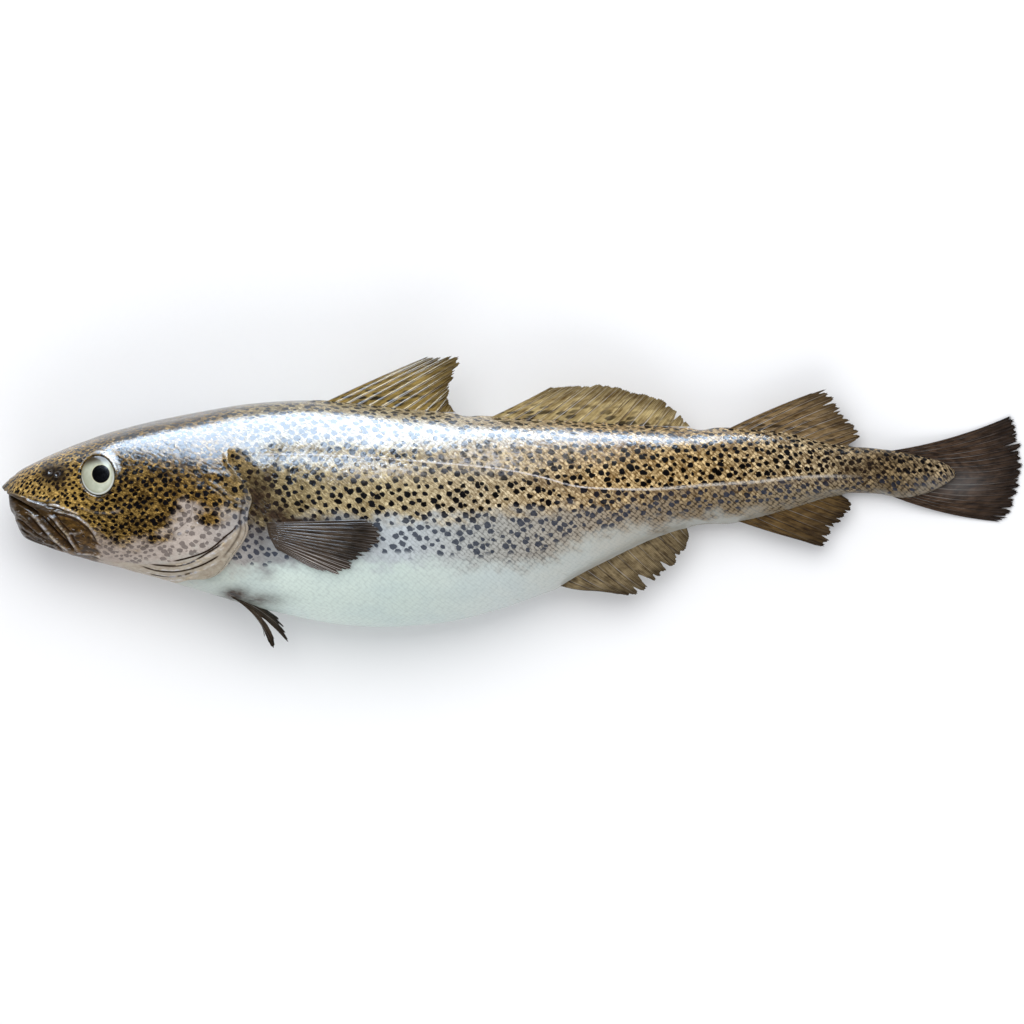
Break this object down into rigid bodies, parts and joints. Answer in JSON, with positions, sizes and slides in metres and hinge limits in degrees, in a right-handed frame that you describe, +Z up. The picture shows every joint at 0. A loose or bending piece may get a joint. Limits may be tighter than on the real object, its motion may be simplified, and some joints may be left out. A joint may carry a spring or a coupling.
{
  "type": "atlantic cod",
  "caption": "Whole raw Atlantic cod with head, fins and tail, lying on its right flank, ready to be prepared as food.",
  "frame": {"origin": "centre of the bounding box at the surface that the fish lies on", "axes": "+X from the snout to the tail, +Y from the belly to the back, +Z up, out of the left flank"},
  "size_m": [0.6202, 0.1782, 0.0874],
  "materials": {
    "skin": "wet scaled skin, brown spotted back and pale belly"
  },
  "bodies": {
    "root": {"cod": "skin"}
  },
  "joints": []
}
